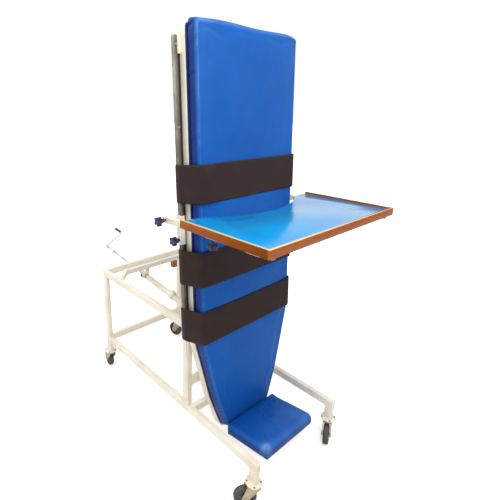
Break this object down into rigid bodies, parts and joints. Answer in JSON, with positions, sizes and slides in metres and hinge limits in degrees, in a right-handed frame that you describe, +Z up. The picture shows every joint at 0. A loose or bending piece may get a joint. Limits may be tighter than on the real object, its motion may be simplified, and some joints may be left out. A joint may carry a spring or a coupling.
{
  "type": "physiotherapy tilt table",
  "caption": "Hand-cranked tilt table: padded board with body straps, foot plate and sliding work tray, hinged on a castored steel base.",
  "frame": {"origin": "on the floor under the middle of the bounding box", "axes": "+X the way the pad faces and the foot plate points, +Y across the board to the side away from the camera, +Z up"},
  "size_m": [1.92, 0.8666, 1.9529],
  "materials": {
    "cream_paint": "satin enamel",
    "polished_rail": "polished",
    "zinc_steel": "zinc plated",
    "bronze_nut": "machined",
    "blue_vinyl": "grained vinyl",
    "navy_board": "covered edge",
    "dark_webbing": "woven",
    "blue_laminate": "satin laminate",
    "oiled_wood": "varnished",
    "orange_wood": "varnished",
    "violet_plastic": "moulded",
    "black_grip": "moulded",
    "black_packing": "matte",
    "dark_wheel": "moulded",
    "grey_tyre": "matte"
  },
  "bodies": {
    "base": {"rear_posts": "cream_paint", "mid_posts": "cream_paint", "front_legs": "cream_paint", "upper_rails": "cream_paint", "lower_rails": "cream_paint", "cross_tubes": "cream_paint", "rest_hoop": "cream_paint", "hoop_buffer": "orange_wood", "hinge_bolts": "zinc_steel", "screw_hanger": "cream_paint", "castor_plates": "cream_paint", "castor_bolts": "zinc_steel"},
    "board": {"bent_frame": "cream_paint", "frame_cross_tubes": "cream_paint", "hinge_lugs": "cream_paint", "screw_lever": "cream_paint", "base_board": "navy_board", "mattress": "blue_vinyl", "side_rails": "polished_rail", "rail_packing": "black_packing", "rail_spacers": "cream_paint", "rail_screws": "zinc_steel", "chest_strap": "dark_webbing", "hip_strap": "dark_webbing", "knee_strap": "dark_webbing", "foot_pad": "blue_vinyl", "foot_plate": "cream_paint", "foot_hangers": "cream_paint"},
    "screw_mount": {"trunnion": "cream_paint"},
    "nut": {"nut_tube": "cream_paint", "screw_nut": "bronze_nut", "tube_eye": "cream_paint"},
    "crank": {"lead_screw": "zinc_steel", "crank_arm": "cream_paint"},
    "grip": {"crank_grip": "black_grip"},
    "carriage": {"rail_sleeves": "cream_paint", "arm_receivers": "cream_paint"},
    "arms": {"tray_arms": "cream_paint"},
    "tray": {"tray_panel": "blue_laminate", "tray_lipping": "oiled_wood", "tray_guides": "cream_paint"},
    "near_sleeve_knob": {"near_sleeve_knob": "violet_plastic"},
    "near_arm_knob": {"near_arm_knob": "violet_plastic"},
    "near_tray_knob": {"near_tray_knob": "violet_plastic"},
    "far_sleeve_knob": {"far_sleeve_knob": "violet_plastic"},
    "far_arm_knob": {"far_arm_knob": "violet_plastic"},
    "far_tray_knob": {"far_tray_knob": "violet_plastic"},
    "near_rear_castor": {"near_rear_fork": "zinc_steel"},
    "near_rear_roller": {"near_rear_wheel": "dark_wheel", "near_rear_tyre": "grey_tyre"},
    "far_rear_castor": {"far_rear_fork": "zinc_steel"},
    "far_rear_roller": {"far_rear_wheel": "dark_wheel", "far_rear_tyre": "grey_tyre"},
    "near_front_castor": {"near_front_fork": "zinc_steel"},
    "near_front_roller": {"near_front_wheel": "dark_wheel", "near_front_tyre": "grey_tyre"},
    "far_front_castor": {"far_front_fork": "zinc_steel"},
    "far_front_roller": {"far_front_wheel": "dark_wheel", "far_front_tyre": "grey_tyre"}
  },
  "joints": [
    {"name": "board_tilt", "type": "hinge", "parent": "base", "child": "board", "pos_m": [0.42425, 0, 0.676], "axis": [0, 1, 0], "range_deg": [-86.7, 0]},
    {"name": "screw_swing", "type": "hinge", "parent": "base", "child": "screw_mount", "pos_m": [-0.36425, 0, 0.5795], "axis": [0, 1, 0], "range_deg": [-10.71, 0.5]},
    {"name": "nut_travel", "type": "slide", "parent": "screw_mount", "child": "nut", "axis": [0.9926, 0, -0.1211], "range_m": [-0.001, 0.2141]},
    {"name": "crank_turn", "type": "hinge", "parent": "screw_mount", "child": "crank", "pos_m": [-0.36425, 0, 0.5795], "axis": [0.9926, 0, -0.1211], "range_deg": [-5, 7565]},
    {"name": "grip_spin", "type": "hinge", "parent": "crank", "child": "grip", "pos_m": [-0.86173, 0.1289, 0.72136], "axis": [0.9926, 0, -0.1211], "continuous": true},
    {"name": "carriage_slide", "type": "slide", "parent": "board", "child": "carriage", "axis": [-0.0576, 0, 0.9983], "range_m": [-0.02, 0.05]},
    {"name": "arm_slide", "type": "slide", "parent": "carriage", "child": "arms", "axis": [1, 0, 0], "range_m": [0, 0.025]},
    {"name": "tray_slide", "type": "slide", "parent": "arms", "child": "tray", "axis": [1, 0, 0], "range_m": [0, 0.045]},
    {"name": "near_sleeve_knob_turn", "type": "hinge", "parent": "carriage", "child": "near_sleeve_knob", "pos_m": [0.42816, -0.3353, 1.11192], "axis": [0, 1, 0], "continuous": true},
    {"name": "near_arm_knob_turn", "type": "hinge", "parent": "carriage", "child": "near_arm_knob", "pos_m": [0.39725, -0.385, 1.2015], "axis": [0, 1, 0], "continuous": true},
    {"name": "near_tray_knob_turn", "type": "hinge", "parent": "tray", "child": "near_tray_knob", "pos_m": [0.66998, -0.375, 1.1915], "axis": [0, 0, 1], "continuous": true},
    {"name": "far_sleeve_knob_turn", "type": "hinge", "parent": "carriage", "child": "far_sleeve_knob", "pos_m": [0.42816, 0.3353, 1.11192], "axis": [0, 1, 0], "continuous": true},
    {"name": "far_arm_knob_turn", "type": "hinge", "parent": "carriage", "child": "far_arm_knob", "pos_m": [0.39725, 0.385, 1.2015], "axis": [0, 1, 0], "continuous": true},
    {"name": "far_tray_knob_turn", "type": "hinge", "parent": "tray", "child": "far_tray_knob", "pos_m": [0.66998, 0.375, 1.1915], "axis": [0, 0, 1], "continuous": true},
    {"name": "near_rear_swivel", "type": "hinge", "parent": "base", "child": "near_rear_castor", "pos_m": [-0.35675, -0.2885, 0.1], "axis": [0, 0, 1], "continuous": true},
    {"name": "near_rear_roll", "type": "hinge", "parent": "near_rear_castor", "child": "near_rear_roller", "pos_m": [-0.39042, -0.28377, 0.05], "axis": [-0.1392, -0.9903, 0], "continuous": true},
    {"name": "far_rear_swivel", "type": "hinge", "parent": "base", "child": "far_rear_castor", "pos_m": [-0.35675, 0.2885, 0.1], "axis": [0, 0, 1], "continuous": true},
    {"name": "far_rear_roll", "type": "hinge", "parent": "far_rear_castor", "child": "far_rear_roller", "pos_m": [-0.39001, 0.28143, 0.05], "axis": [0.2079, -0.9781, 0], "continuous": true},
    {"name": "near_front_swivel", "type": "hinge", "parent": "base", "child": "near_front_castor", "pos_m": [0.86725, -0.2885, 0.1], "axis": [0, 0, 1], "continuous": true},
    {"name": "near_front_roll", "type": "hinge", "parent": "near_front_castor", "child": "near_front_roller", "pos_m": [0.84632, -0.31529, 0.05], "axis": [0.788, -0.6157, 0], "continuous": true},
    {"name": "far_front_swivel", "type": "hinge", "parent": "base", "child": "far_front_castor", "pos_m": [0.86725, 0.2885, 0.1], "axis": [0, 0, 1], "continuous": true},
    {"name": "far_front_roll", "type": "hinge", "parent": "far_front_castor", "child": "far_front_roller", "pos_m": [0.88373, 0.25876, 0.05], "axis": [0.8746, 0.4848, 0], "continuous": true}
  ],
  "couplings": [
    {"joint": "screw_swing", "follows": "board_tilt", "ratio": 0.11781},
    {"joint": "nut_travel", "follows": "board_tilt", "m_per_rad": -0.14084},
    {"joint": "crank_turn", "follows": "board_tilt", "ratio": -87.197}
  ]
}
